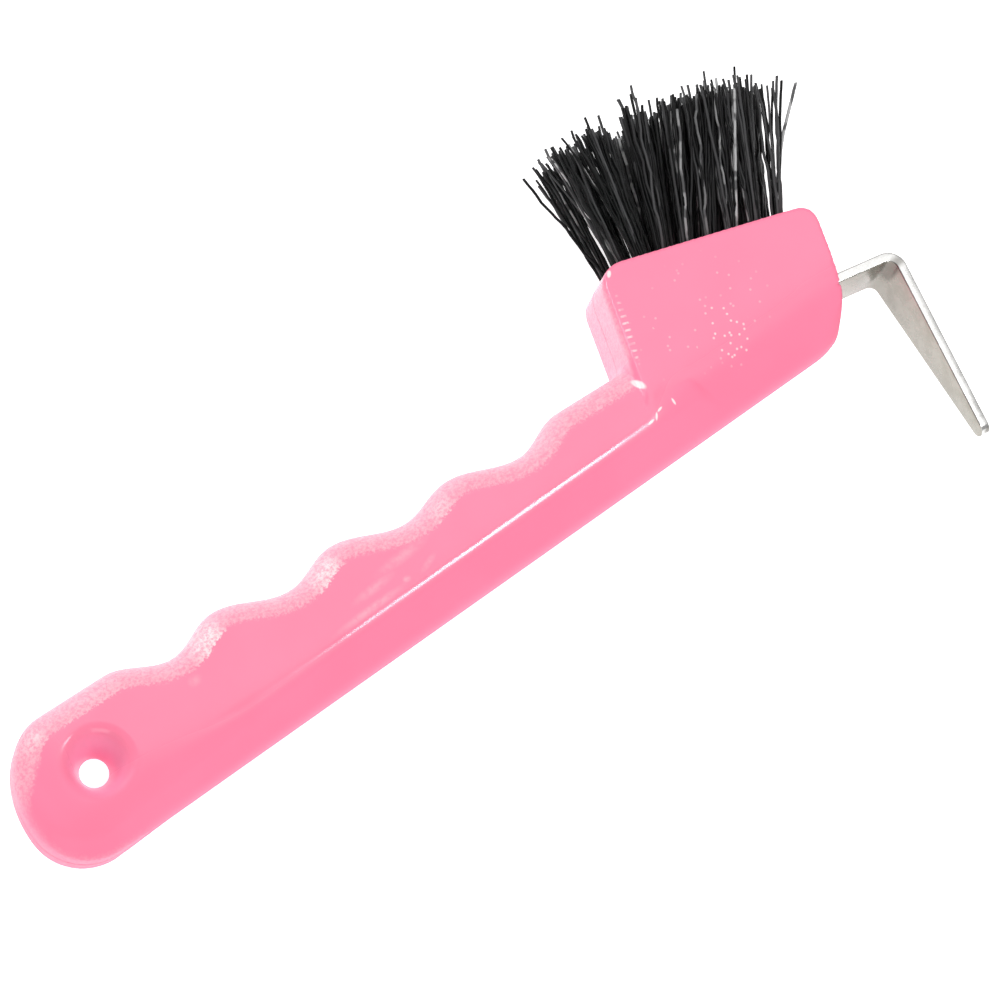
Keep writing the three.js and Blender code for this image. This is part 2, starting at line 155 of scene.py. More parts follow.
FILAMENTS = 30  # in a tuft
FILAMENT_RADIUS = 0.29
FILAMENT_SIDES = 6
FILAMENT_STEPS = 22
BUNDLE_RADIUS = 1.4
ROOT_FILL = 0.93  # how much of the bundle's radius the filaments' centres fill
GOLDEN_ANGLE = math.pi * (3 - math.sqrt(5))
FILAMENT_ROOT = 4.0  # how far the visible filaments reach down into their hole
SWEEP = math.tan(math.radians(8))  # the middle tufts have been pushed towards the pick
SWEEP_PLACE = 24.0  # along the brush face, from the head's sharp corner
SWEEP_WIDTH = 7.5  # the push dies away over this distance to each side
THIN_TUFT = "tuft_front_8"  # a worn tuft that stands apart from the others
THIN_FILAMENTS = 11
LOOSE_TUFT = "tuft_front_1"  # another, at the butt end
LOOSE_FILAMENTS = 16
THIN_SWEEP = math.tan(math.radians(3))  # the thin tuft's own
STRAY_REACH = 8.2  # sideways, at the tip of the thin tuft's stray
STRAY_THICKNESS = 1.3  # as a multiple of FILAMENT_RADIUS
SPLAYED_PLACE = 12.0  # the tufts before this place have splayed out towards the butt
FLOOR_CLEARANCE = 0.3

# How filaments differ. Pairs are low and high ends, or else deviations sideways and up at the tip.
CRIMP_HEIGHTS = (0.08, 0.32)
CRIMP_LENGTHS = (8.0, 16.0)
THICKNESSES = (0.85, 1.12)  # as multiples of FILAMENT_RADIUS
TUFT_DEVIATION = (0.7, 0.5)
FILAMENT_DEVIATION = (0.95, 0.75)
BOW_DEVIATION = (0.5, 0.4)
FLYAWAY_CHANCE = 0.06
FLYAWAY_FACTOR = 2.4
LONG_CHANCE = 0.1
LONG_EXTRAS = (1.0, 3.5)
SPLAYED_CHANCE = 0.16
SPLAYED_LEANS = (1.0, 4.5)
SPLAYED_BOWS = (0.0, 1.5)

# ---------------------------------------------------------------- colours and marks

PINK_DEEP = (1.0, 0.222, 0.36, 1)
PINK_LIGHT = (1.0, 0.234, 0.375, 1)
# Painted fill light: a lighter pink for the hole's bell, lifting the shade inside it.
BELL_FILL_PINK = (1.0, 0.39, 0.58, 1)
# Pale colour of the frosted band: partly the band's own colour and partly painted sheen and highlight.
FROST_AND_SHEEN_COLOUR = (0.97, 0.77, 0.79, 1)
STEEL_DARK = (0.262, 0.25, 0.215, 1)
STEEL_LIGHT = (0.338, 0.328, 0.292, 1)
# Painted sheen: the strip's narrow sides are given a lighter steel than its broad faces.
STEEL_SHEEN_EDGE_DARK = (0.62, 0.615, 0.60, 1)
STEEL_SHEEN_EDGE_LIGHT = (0.68, 0.675, 0.665, 1)
# Painted shade in the crook of the bend, and a painted dark reflection at the tip.
STEEL_PAINTED_SHADE = (0.12, 0.11, 0.095, 1)
FILAMENT_BLACK = (0.004, 0.004, 0.0043, 1)
FILAMENT_GREY = (0.07, 0.07, 0.072, 1)
# Painted highlight: a few filaments are painted light grey in patches along their length, as glints.
FILAMENT_PAINTED_GLINT = (0.42, 0.42, 0.42, 1)
WIRE_DARK = (0.48, 0.47, 0.44, 1)
WIRE_LIGHT = (0.62, 0.61, 0.58, 1)
FLOOR_DARK = (0.86, 0.86, 0.86, 1)
FLOOR_LIGHT = (0.88, 0.88, 0.88, 1)
FROST_ROUGHNESS = 0.26  # added to the gloss, in the frost
FACET_ROUGHNESS = 0.36  # and on the palm facets
# Heights of the plastic's surface detail, before the bump's strength.
GRIT_HEIGHT = 0.05
RIPPLE_HEIGHT = 0.03
GRAIN_HEIGHT = 0.0012
MARK_HEIGHT = 0.05
TICKS_FROM = (158.3, 33.8)  # row of small raised marks on the head's front face, also painted pale as glints
TICKS_TO = (152.6, 18.5)
TICK_PITCH = 1.48
TICK_LENGTH = 0.8
# Patches of raised specks, painted pale as glints, and of painted shade and a painted dark reflection on
# the steel: centre, angle and half sizes.
DENSE_SPECKS = ((172.0, 12.5, HEAD_THICKNESS / 2), math.radians(80), (11.5, 5.5, 3.0))
SPARSE_SPECKS = ((170.0, 18.5, HEAD_THICKNESS / 2), 0, (19.0, 15.0, 2.0))
CROOK_SHADE = ((211.0, 6.2, 4.0), 0, (4.0, 2.2, 6.5))
TIP_DARK_REFLECTION = ((207.6, -31.5, 1.0), 0, (2.0, 1.0, 1.5))
# Painted highlights: small bright glints on the front face, at the step between handle and head and near
# the head's corner: x, y, half length, half width, angle in degrees.
PAINTED_GLINTS = (
    (150.1, 15.9, 2.2, 0.9, -64),
    (154.0, 8.9, 1.0, 0.32, 88),
    (150.6, 9.2, 0.9, 0.3, 15),
    (149.2, 8.4, 1.1, 0.3, 55),
    (147.6, 8.1, 1.1, 0.35, 8),
    (159.5, 37.3, 1.0, 0.5, 45),
)
# Painted reflections: soft pale smears on the grip's face: the same, and a strength.
REFLECTION_SMEARS = (
    (89.5, 14.6, 6.5, 1.3, 2, 0.16),
    (81.0, 12.6, 5.5, 1.1, 3, 0.15),
    (78.0, 9.6, 9.0, 0.9, 1, 0.20),
    (93.0, 10.6, 2.6, 0.7, 20, 0.14),
    (87.5, 10.4, 0.9, 0.7, 0, 0.25),
    (41.5, 17.8, 1.6, 1.2, 0, 0.12),
)

# ---------------------------------------------------------------- placing

body_low, body_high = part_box("handle_body")
PLAN_ORIGIN = np.array([body_low.x, body_low.y, (body_low.z + body_high.z) / 2])


def to_row(points):
    """Plan-frame millimetres to the frame's metres."""
    return np.asarray(points, float) * MM + PLAN_ORIGIN


def direction(angle):
    return np.array([math.cos(angle), math.sin(angle)])


ALONG = direction(-HEAD_TURN)  # along the brush face, to the pick
OUTWARD = direction(math.pi / 2 - HEAD_TURN)  # out of the brush face
END_NORMAL = direction(-HEAD_END_TURN)  # across the head's two ends
END_LINE = direction(math.pi / 2 - HEAD_END_TURN)


# ---------------------------------------------------------------- outlines in plan

def ellipse_points(ellipse, start, end, steps):
    x, y, rx, ry = ellipse
    return [(x + rx * math.cos(a), y + ry * math.sin(a)) for a in np.linspace(start, end, steps + 1)]


def corner_points(corner, before, after, radius, steps):
    """The arc that rounds a sharp corner between two directions."""
    before, after = np.asarray(before), np.asarray(after)
    turn = math.acos(float(np.clip(before @ after, -1, 1)))
    side = math.copysign(1, before[0] * after[1] - before[1] * after[0])
    start = np.asarray(corner) - before * radius * math.tan(turn / 2)
    centre = start + np.array([-before[1], before[0]]) * side * radius
    arm = start - centre
    points = []
    for a in np.linspace(0, side * turn, steps + 1):
        c, s = math.cos(a), math.sin(a)
        points.append(tuple(centre + np.array([c * arm[0] - s * arm[1], s * arm[0] + c * arm[1]])))
    return points


def grip_points(steps):
    """The finger side: hollows and crests in turn, with a level tangent at each of them."""
    stations = [SHOULDER]
    for i in range(GRIP_COUNT):
        crest_y = FIRST_CREST[1] - i * CREST_FALL if i < GRIP_COUNT - 1 else THUMB_REST_Y
        stations.append((FIRST_HOLLOW[0] + i * GRIP_PITCH, FIRST_HOLLOW[1] - i * HOLLOW_FALL))
        stations.append((FIRST_CREST[0] + i * GRIP_PITCH, crest_y))
    points = []
    for (x0, y0), (x1, y1) in zip(stations, stations[1:]):
        for t in np.arange(steps) / steps:
            ease = (1 - math.cos(math.pi * t)) / 2
            points.append((x0 + (x1 - x0) * t, y0 + (y1 - y0) * ease))
    return points + [stations[-1]]


def head_end_at(corner, height):
    corner = np.asarray(corner)
    return corner + END_LINE * (height - corner[1]) / END_LINE[1]


def handle_plan():
    junction = head_end_at(HEAD_CORNER, THUMB_END_Y)
    fillet = corner_points(junction, (1, 0), END_LINE, HEAD_FILLET, 12)
    inside_x = junction[0] + HANDLE_OVERLAP
    return [
        (inside_x, 0),
        (inside_x, fillet[-1][1]),
        *reversed(fillet),
        *reversed(grip_points(24)),
        *ellipse_points(BUTT_HIGH, math.pi / 2, math.pi, 40),
        *ellipse_points(BUTT_LOW, math.pi, 1.5 * math.pi, 32)[1:],
    ]


def head_plan(corner, length, foot):
    """The head's outline from its sharp corner, its brush face's length and the height of its palm side."""
    slope = direction(HEEL_DIRECTION)
    far_corner = corner + ALONG * length
    heel_top = head_end_at(far_corner, HEEL_HEIGHT)
    heel_foot = heel_top - slope * (HEEL_HEIGHT - foot) / slope[1]
    return [
        tuple(head_end_at(corner, foot)),
        *corner_points(heel_foot, (1, 0), slope, HEEL_CORNER_RADIUS, 10),
        *corner_points(heel_top, slope, END_LINE, HEEL_BEND_RADIUS, 16),
        *corner_points(far_corner, END_LINE, -ALONG, HEAD_CORNER_FAR, 16),
        *corner_points(corner, -ALONG, -END_LINE, HEAD_CORNER_NEAR, 20),
    ]


def palm_side_plan():
    """The palm edge and the low side of the butt, open towards the fingers."""
    far = 300
    return [(far, 0), (far, far), (0, far), *ellipse_points(BUTT_LOW, math.pi, 1.5 * math.pi, 32)]


def palm_section():
    """Material side of the palm facets as (inset from the palm edge, height) points."""
    half = HANDLE_THICKNESS / 2
    ellipse = (NOSE_RADIUS, 0, NOSE_RADIUS, half - FACET_DROP)
    nose = ellipse_points(ellipse, 2 / 3 * math.pi, 4 / 3 * math.pi, 16)
    slope = (half - nose[0][1]) / (FACET_WIDTH - nose[0][0])
    far = 300
    top = half + (far - FACET_WIDTH) * slope
    return [(far, top), *nose, (far, -top)]


# ---------------------------------------------------------------- distance functions, negative inside

def polygon_distance(points, x, y):
    x, y = np.broadcast_arrays(x, y)
    nearest = np.full(x.shape, np.inf)
    inside = np.zeros(x.shape, bool)
    for (ax, ay), (bx, by) in zip(points, points[1:] + points[:1]):
        ex, ey = bx - ax, by - ay
        if ex * ex + ey * ey < 1e-12:
            continue
        t = np.clip(((x - ax) * ex + (y - ay) * ey) / (ex * ex + ey * ey), 0, 1)
        nearest = np.minimum(nearest, (x - ax - t * ex) ** 2 + (y - ay - t * ey) ** 2)
        if ay != by:
            inside ^= ((ay > y) != (by > y)) & (x < ax + (y - ay) * ex / ey)
    return np.where(inside, -1, 1) * np.sqrt(nearest)


def head_side(x, y):
    """Distance past the head's butt-end wall, in plan."""
    return (x - HEAD_CORNER[0]) * END_NORMAL[0] + (y - HEAD_CORNER[1]) * END_NORMAL[1]


def smooth_step(value, low, high):
    t = np.clip((value - low) / (high - low), 0, 1)
    return t * t * (3 - 2 * t)


def smooth_max(a, b, blend):
    h = np.clip(blend - np.abs(a - b), 0, None) / blend
    return np.maximum(a, b) + h * h * blend / 4


def smooth_min(a, b, blend):
    return -smooth_max(-a, -b, blend)


def rounded_plate(plan_distance, z, thickness, radius):
    u = plan_distance + radius
    v = np.abs(z) - thickness / 2 + radius
    outside = np.hypot(np.maximum(u, 0), np.maximum(v, 0))
    return np.minimum(np.maximum(u, v), 0) + outside - radius


def handle_distance(x, y, z):
    outline = polygon_distance(handle_plan(), x, y)
    plate = rounded_plate(outline, z, HANDLE_THICKNESS + 2 * EDGE_CREASE, EDGE_RADIUS)
    plate = smooth_max(plate, np.abs(z) - HANDLE_THICKNESS / 2, CREASE_BLEND)
    inset = -polygon_distance(palm_side_plan(), x, y)
    # The facet dies away round the butt, where its ridge is soft too.
    fade = smooth_step(-x, -24, -4) * (0.3 + 0.7 * smooth_step(y, 2, 15))
    facet = polygon_distance(palm_section(), inset + FACET_FADE * fade, z)
    near_butt = smooth_step(-x, -75, -15)
    blend = RIDGE_BLEND + (RIDGE_BLEND_AT_BUTT - RIDGE_BLEND) * near_butt
    return smooth_max(plate, facet, blend * smooth_step(inset, 1, 6) + LEAST_BLEND)


def head_distance(x, y, z):
    corner = np.asarray(HEAD_CORNER)
    outer_corner = corner - ALONG * HEAD_END_CUT + OUTWARD * HEAD_FACE_CUT
    outer = head_plan(outer_corner, HEAD_LENGTH + HEAD_END_CUT + HEAD_FACE_CUT, -PALM_SPARE)
    plate = rounded_plate(polygon_distance(outer, x, y), z, HEAD_THICKNESS, HEAD_EDGE_RADIUS)
    soft = RIDGE_BLEND + (RIDGE_BLEND_ON_HEAD - RIDGE_BLEND) * smooth_step(head_side(x, y), -4, 6)
    block = smooth_max(plate, polygon_distance(palm_section(), y, z), soft)
    walls = polygon_distance(head_plan(corner, HEAD_LENGTH, 0), x, y) + np.abs(z) * HEAD_DRAFT
    return smooth_max(block, walls, CREASE_BLEND * smooth_step(y, 1, 4) + LEAST_BLEND)


def hole_lip_distance(x, y, z):
    """Material side of the bell-mouthed hanging hole."""
    r = np.hypot(x - HOLE_CENTRE[0], y - HOLE_CENTRE[1])
    across = math.cos(HOLE_BELL_START) - math.cos(HOLE_BELL_END)
    rise = math.sin(HOLE_BELL_END) - math.sin(HOLE_BELL_START)
    width = (HOLE_MOUTH_RADIUS - HOLE_NECK_RADIUS) / across
    height = (HANDLE_THICKNESS - HOLE_NECK_LENGTH) / 2 / rise
    level = np.maximum(np.abs(z), HOLE_NECK_LENGTH / 2) - HOLE_NECK_LENGTH / 2
    u = np.maximum(HOLE_NECK_RADIUS + width * math.cos(HOLE_BELL_START) - r, 0)
    v = level + height * math.sin(HOLE_BELL_START)
    k0 = np.hypot(u / width, v / height)
    k1 = np.hypot(u / width ** 2, v / height ** 2)
    return k0 * (k0 - 1) / np.maximum(k1, 1e-6)


def tang_frame():
    along = direction(TANG_SLOPE)
    inward = np.array([along[1], -along[0]])
    return np.asarray(BEND), along, inward


def tang_slot_distance(x, y, z):
    bend, along, inward = tang_frame()
    s = (x - bend[0]) * along[0] + (y - bend[1]) * along[1]
    d = (x - bend[0]) * inward[0] + (y - bend[1]) * inward[1]
    box = np.maximum(np.abs(d - STRIP_THICKNESS / 2) - STRIP_THICKNESS / 2, np.abs(z) - STRIP_WIDTH / 2)
    box = np.maximum(box, -TANG_LENGTH - s) - SLOT_CLEARANCE
    plug = np.hypot(s + TANG_LENGTH - KEY_FROM_END, z) - KEY_RADIUS + SLOT_CLEARANCE
    return np.maximum(box, -plug)


def tuft_hole_distance(x, y, z, mouth, axis):
    px, py, pz = x - mouth[0], y - mouth[1], z - mouth[2]
    s = px * axis[0] + py * axis[1] + pz * axis[2]
    across = np.sqrt(np.maximum(px * px + py * py + pz * pz - s * s, 0))
    return np.maximum(across - TUFT_HOLE_RADIUS, -TUFT_HOLE_DEPTH - s)


def moulding_distance(x, y, z, tufts):
    near_step = smooth_step(-head_side(x, y), -9, -3)
    blend = STEP_BLEND * smooth_step(y, 5, 9) * near_step + LEAST_BLEND
    body = smooth_min(handle_distance(x, y, z), head_distance(x, y, z), blend)
    body = body + PARTING_DEPTH * np.exp(-((z / PARTING_WIDTH) ** 2))
    body = smooth_max(body, hole_lip_distance(x, y, z), HOLE_RIM_BLEND)
    body = np.maximum(body, -tang_slot_distance(x, y, z))
    for tuft in tufts:
        body = np.maximum(body, -tuft_hole_distance(x, y, z, tuft["mouth"], tuft["axis"]))
    return body


# ---------------------------------------------------------------- surface from a distance grid

CORNERS = [(i, j, k) for i in (0, 1) for j in (0, 1) for k in (0, 1)]
EDGES = [(a, b) for a in CORNERS for b in CORNERS if a < b and sum(abs(p - q) for p, q in zip(a, b)) == 1]


def surface_nets(values, axes):
    """Vertices and outward quads of the zero surface of a grid whose nodes lie at axes."""
    inside = values < 0
    shape = np.array(values.shape) - 1
    count = sum(
        inside[i:shape[0] + i, j:shape[1] + j, k:shape[2] + k].astype(np.int8) for i, j, k in CORNERS
    )
    active = (count > 0) & (count < 8)
    cells = np.argwhere(active)
    index = np.full(active.shape, -1)
    index[active] = np.arange(len(cells))
    total = np.zeros((len(cells), 3))
    hits = np.zeros(len(cells))
    for a, b in EDGES:
        node_a, node_b = (cells + a).T, (cells + b).T
        value_a, value_b = values[tuple(node_a)], values[tuple(node_b)]
        crossing = (value_a < 0) != (value_b < 0)
        t = (value_a / np.where(crossing, value_a - value_b, 1))[:, None]
        point_a = np.stack([axis[n] for axis, n in zip(axes, node_a)], 1)
        point_b = np.stack([axis[n] for axis, n in zip(axes, node_b)], 1)
        total += np.where(crossing[:, None], point_a + (point_b - point_a) * t, 0)
        hits += crossing
    quads = []
    for a in range(3):
        b, c = (a + 1) % 3, (a + 2) % 3
        low = np.take(inside, np.arange(values.shape[a] - 1), a)
        high = np.take(inside, np.arange(1, values.shape[a]), a)
        nodes = np.argwhere(low != high)
        nodes = nodes[(nodes[:, b] > 0) & (nodes[:, c] > 0)]
        nodes = nodes[(nodes[:, b] < shape[b]) & (nodes[:, c] < shape[c])]
        step_b, step_c = np.eye(3, dtype=int)[b], np.eye(3, dtype=int)[c]
        ring = [nodes - step_b - step_c, nodes - step_c, nodes, nodes - step_b]
        face = np.stack([index[tuple(r.T)] for r in ring], 1)
        outward = low[tuple(nodes.T)]
        quads.append(np.where(outward[:, None], face, face[:, ::-1]))
    return total / hits[:, None], np.concatenate(quads)


# ---------------------------------------------------------------- meshes

def mesh_object(name, vertices, faces, material):
    """A smooth-shaded object from plan-frame vertices."""
    mesh = bpy.data.meshes.new(name)
    mesh.from_pydata(to_row(vertices), [], faces)
    mesh.materials.append(material)
    mesh.polygons.foreach_set("use_smooth", np.ones(len(mesh.polygons), bool))
    mesh.update()
    piece = bpy.data.objects.new(name, mesh)
    bpy.context.scene.collection.objects.link(piece)
    return piece


def add_attribute(piece, name, values):
    layer = piece.data.attributes.new(name, "FLOAT", "POINT")
    layer.data.foreach_set("value", np.asarray(values, np.float32))


def read_tufts():
    """Mouth, axis and length of each tuft, from the frame's own solids."""
    tufts = []
    for name, node in sorted(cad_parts.items()):
        if not name.startswith("tuft_"):
            continue
        points = np.array([v.co for v in node.data.vertices])
        points = (points - PLAN_ORIGIN) / MM
        axis = np.linalg.svd(points - points.mean(0))[2][0]
        axis = axis * math.copysign(1, axis[1])
        for _ in range(2):
            along = points @ axis
            root = points[along < along.min() + 0.2].mean(0)
            tip = points[along > along.max() - 0.2].mean(0)
            axis = (tip - root) / np.linalg.norm(tip - root)
        reach = (np.asarray(HEAD_CORNER) - root[:2]) @ OUTWARD / (axis[:2] @ OUTWARD)
        mouth = root + axis * reach
        length = float(np.linalg.norm(tip - mouth))
        tufts.append({"node": name, "mouth": mouth, "axis": axis, "length": length})
    return tufts


def make_moulding(tufts, material):
    margin = 3 * GRID_STEP
    low = (body_low - Vector(PLAN_ORIGIN)) / MM
    high = (body_high - Vector(PLAN_ORIGIN)) / MM
    xs = np.arange(low.x - margin, high.x + margin, GRID_STEP)
    ys = np.arange(low.y - margin, high.y + margin, GRID_STEP)
    fine = np.arange(PARTING_LAYERS) * PARTING_STEP + PARTING_STEP / 2
    coarse = np.arange(fine[-1] + GRID_STEP / 2, high.z + margin, GRID_STEP)
    half = np.concatenate([fine, coarse])
    zs = np.concatenate([-half[::-1], half])
    grid = (xs[:, None, None], ys[None, :, None], zs[None, None, :])
    size = (len(xs), len(ys), len(zs))
    values = np.ascontiguousarray(np.broadcast_to(moulding_distance(*grid, tufts), size))
    vertices, quads = surface_nets(values, (xs, ys, zs))
    piece = mesh_object("moulding", vertices, quads, material)
    x, y = vertices[:, 0], vertices[:, 1]
    add_frost_and_sheen(piece, x, y)
    add_satin(piece, x, y)
    return piece


def add_frost_and_sheen(piece, x, y):
    """The moulding's frosted bands, with their painted sheen and highlight, as attributes for its material.
    """
    inset = -polygon_distance(handle_plan(), x, y)
    # The frosted band is broad on the finger side, and thin and faint round the butt.
    broad = np.maximum(smooth_step(y, 14, 23), smooth_step(x, 20, 30) * smooth_step(y, 8, 12))
    width = BUTT_FROST + (FINGER_FROST - BUTT_FROST) * broad
    on_handle = smooth_step(-head_side(x, y), -0.5, 1.5)
    kept = np.maximum(smooth_step(y, 3, 9), smooth_step(-x, -22, -10))
    # Painted highlight: the frost is painted whitest on the flanks that face the butt, where the light
    # catches them.
    step = 0.4
    slope_x = polygon_distance(handle_plan(), x + step, y) - polygon_distance(handle_plan(), x - step, y)
    lit_flank = smooth_step(-slope_x / (2 * step), -0.1, 0.45) * (1 - 0.75 * smooth_step(x, 85, 125))
    lit_flank = np.maximum(lit_flank, 0.45 * smooth_step(-x, -38, -28) * smooth_step(y, 20, 25))
    lit_flank = lit_flank * (0.65 + 0.35 * smooth_step(inset, 1.0, 3.2)) * on_handle
    lit_flank = lit_flank * (0.15 + 0.85 * np.maximum(smooth_step(x, 8, 18), 0.7 * smooth_step(y, 21, 27)))
    # The wall at the head's butt end gets the frost's matt finish and its pale colour as a painted sheen.
    end_wall_sheen = 0.7 * smooth_step(-head_side(x, y), -1.2, -0.4) * smooth_step(y, 19.5, 22)
    add_attribute(piece, "inside_band", width - inset)
    add_attribute(piece, "frost_and_wall_sheen", np.maximum(on_handle * kept * (0.3 + 0.7 * broad), end_wall_sheen))
    add_attribute(piece, "lit_flank", lit_flank)


def add_satin(piece, x, y):
    """The palm facet, and the bell of the hanging hole for its painted fill light, as attributes for the
    moulding's material.
    """
    palm_inset = -polygon_distance(palm_side_plan(), x, y)
    # The satin facet has a soft border where its ridge is soft: on the head and round the butt.
    border = SATIN_BORDER * np.maximum(smooth_step(x, 145, 158), smooth_step(-x, -50, -15))
    facet = smooth_step(-palm_inset, -FACET_WIDTH - 0.5 - border, 1.5 - FACET_WIDTH)
    add_attribute(piece, "facet", facet)
    radius = np.hypot(x - HOLE_CENTRE[0], y - HOLE_CENTRE[1])
    # Painted fill light: the bell's mask lets the material paint it a lighter pink, lifting its shade.
    bell = smooth_step(-radius, -HOLE_MOUTH_RADIUS - 0.3, -HOLE_NECK_RADIUS - 1.0)
    add_attribute(piece, "bell", bell)


def strip_stations():
    """Points, inward directions and half widths along the strip's outer face, from tang to tip."""
    bend, tang, tang_in = tang_frame()
    blade = direction(BLADE_SLOPE)
    blade_in = np.array([blade[1], -blade[0]])
    arc = corner_points(bend, tang, blade, BEND_RADIUS, 20)
    reach = np.linalg.norm(np.asarray(arc[0]) - bend)
    stations = []
    for s in np.linspace(-TANG_LENGTH, -reach, 24)[:-1]:
        stations.append((bend + tang * s, tang_in, STRIP_WIDTH / 2))
    for i, point in enumerate(arc):
        angle = TANG_SLOPE + (BLADE_SLOPE - TANG_SLOPE) * i / (len(arc) - 1)
        d = direction(angle)
        depth = (np.asarray(point) - bend) @ blade
        stations.append((np.asarray(point), np.array([d[1], -d[0]]), blade_half_width(depth)))
    straight = np.linspace(reach, BLADE_LENGTH - TIP_ROUND, 28)[1:]
    rounded = BLADE_LENGTH - TIP_ROUND + TIP_ROUND * np.sin(np.linspace(0, math.pi / 2, 12)[1:])
    for s in np.concatenate([straight, rounded]):
        stations.append((bend + blade * s, blade_in, blade_half_width(s)))
    return stations


def blade_half_width(distance):
    full, tip = STRIP_WIDTH / 2, TIP_WIDTH / 2
    start, end = TAPER_START, BLADE_LENGTH - TIP_ROUND
    if distance <= end:
        t = min(max((distance - start) / (end - start), 0), 1)
        return full + (tip - full) * t
    return tip * math.sqrt(max(1 - ((distance - end) / TIP_ROUND) ** 2, TIP_LEAST ** 2))


def quarter_angles(quarter):
    return np.linspace(quarter * math.pi / 2, (quarter + 1) * math.pi / 2, 5)


def strip_section(half_width):
    """Rounded rectangle as (across, depth) points, depth from the outer face inwards."""
    radius = min(STRIP_EDGE, half_width * 0.9)
    corners = [
        (half_width - radius, STRIP_THICKNESS - STRIP_EDGE, 0),
        (-half_width + radius, STRIP_THICKNESS - STRIP_EDGE, 1),
        (-half_width + radius, STRIP_EDGE, 2),
        (half_width - radius, STRIP_EDGE, 3),
    ]
    points = []
    for cx, cy, quarter in corners:
        for a in quarter_angles(quarter):
            points.append((cx + radius * math.cos(a), cy + STRIP_EDGE * math.sin(a)))
    return points


def section_sides():
    """For each point of a strip section, 1 on the narrow sides and 0 on the broad faces."""
    return [abs(math.cos(a)) for quarter in range(4) for a in quarter_angles(quarter)]


def make_pick(material):
    rings = []
    for point, inward, half_width in strip_stations():
        ring = []
        for across, depth in strip_section(half_width):
            ring.append((point[0] + inward[0] * depth, point[1] + inward[1] * depth, across))
        rings.append(ring)
    sides = len(rings[0])
    vertices = [v for ring in rings for v in ring]
    faces = []
    for i in range(len(rings) - 1):
        for k in range(sides):
            a, b = i * sides + k, i * sides + (k + 1) % sides
            faces.append((a, b, b + sides, a + sides))
    faces.append(tuple(reversed(range(sides))))
    faces.append(tuple(range((len(rings) - 1) * sides, len(rings) * sides)))
    pick = mesh_object("pick", vertices, faces, material)
    # The narrow sides are marked for the steel's painted sheen.
    add_attribute(pick, "narrow_side", [value for _ in rings for value in section_sides()])
    bend, along, inward = tang_frame()
    centre = bend - along * (TANG_LENGTH - KEY_FROM_END) + inward * STRIP_THICKNESS / 2
    cut_round_hole(pick, centre, inward)
    return pick


def cut_round_hole(pick, centre, axis):
    """The tang's keyed hole."""
    normal = np.array([axis[0], axis[1], 0])
    across = np.array([-axis[1], axis[0], 0])
    up = np.array([0, 0, 1.0])
    sides = 40
    middle = np.array([centre[0], centre[1], 0])
    vertices = []
    for end in (-STRIP_THICKNESS, STRIP_THICKNESS):
        for a in np.arange(sides) * 2 * math.pi / sides:
            arm = across * math.cos(a) + up * math.sin(a)
            vertices.append(middle + normal * end + arm * KEY_RADIUS)
    faces = [(k, (k + 1) % sides, sides + (k + 1) % sides, sides + k) for k in range(sides)]
    faces.append(tuple(reversed(range(sides))))
    faces.append(tuple(range(sides, 2 * sides)))
    cutter = mesh_object("hole_cutter", vertices, faces, pick.data.materials[0])
    cut = pick.modifiers.new("hole", "BOOLEAN")
    cut.operation = "DIFFERENCE"
    cut.solver = "EXACT"
    cut.object = cutter
    bpy.context.view_layer.update()
    evaluated = pick.evaluated_get(bpy.context.evaluated_depsgraph_get())
    result = bpy.data.meshes.new_from_object(evaluated)
    pick.modifiers.clear()
    pick.data = result
    result.set_sharp_from_angle(angle=math.radians(35))
    bpy.data.objects.remove(cutter)


def deviation(rng, sizes):
    return np.array([rng.gauss(0, size) for size in sizes])


def filament_line(tuft, root, spread, bow, reach, rng):
    """Points along a filament's centre line as (sideways, up, along) of its tuft."""
    length = tuft["length"]
    s = np.linspace(-FILAMENT_ROOT, reach, FILAMENT_STEPS)
    t = np.clip(s / length, 0, None)
    plane = rng.uniform(0, math.pi)
    crimp = np.array([math.cos(plane), math.sin(plane)]) * rng.uniform(*CRIMP_HEIGHTS)
    wave = rng.uniform(*CRIMP_LENGTHS)
    phase = rng.uniform(0, 2 * math.pi)
    ramp = np.clip(s / 6, 0, 1)
    kink = np.sin(2 * math.pi * s / wave + phase) + 0.35 * np.sin(5.3 * math.pi * s / wave + 2 * phase)
    out = root + np.outer(t, spread) + np.outer(t * t, bow)
    out += np.outer(ramp * kink, crimp)
    return np.column_stack([out, s])


def tube_faces(first):
    """Sides and ends of a filament whose first vertex has this number."""
    faces = []
    for low in range(first, first + (FILAMENT_STEPS - 1) * FILAMENT_SIDES, FILAMENT_SIDES):
        for k in range(FILAMENT_SIDES):
            a, b = low + k, low + (k + 1) % FILAMENT_SIDES
            faces.append((a, b, b + FILAMENT_SIDES, a + FILAMENT_SIDES))
    last = first + (FILAMENT_STEPS - 1) * FILAMENT_SIDES
    faces.append(tuple(reversed(range(first, first + FILAMENT_SIDES))))
    faces.append(tuple(range(last, last + FILAMENT_SIDES)))
    return faces


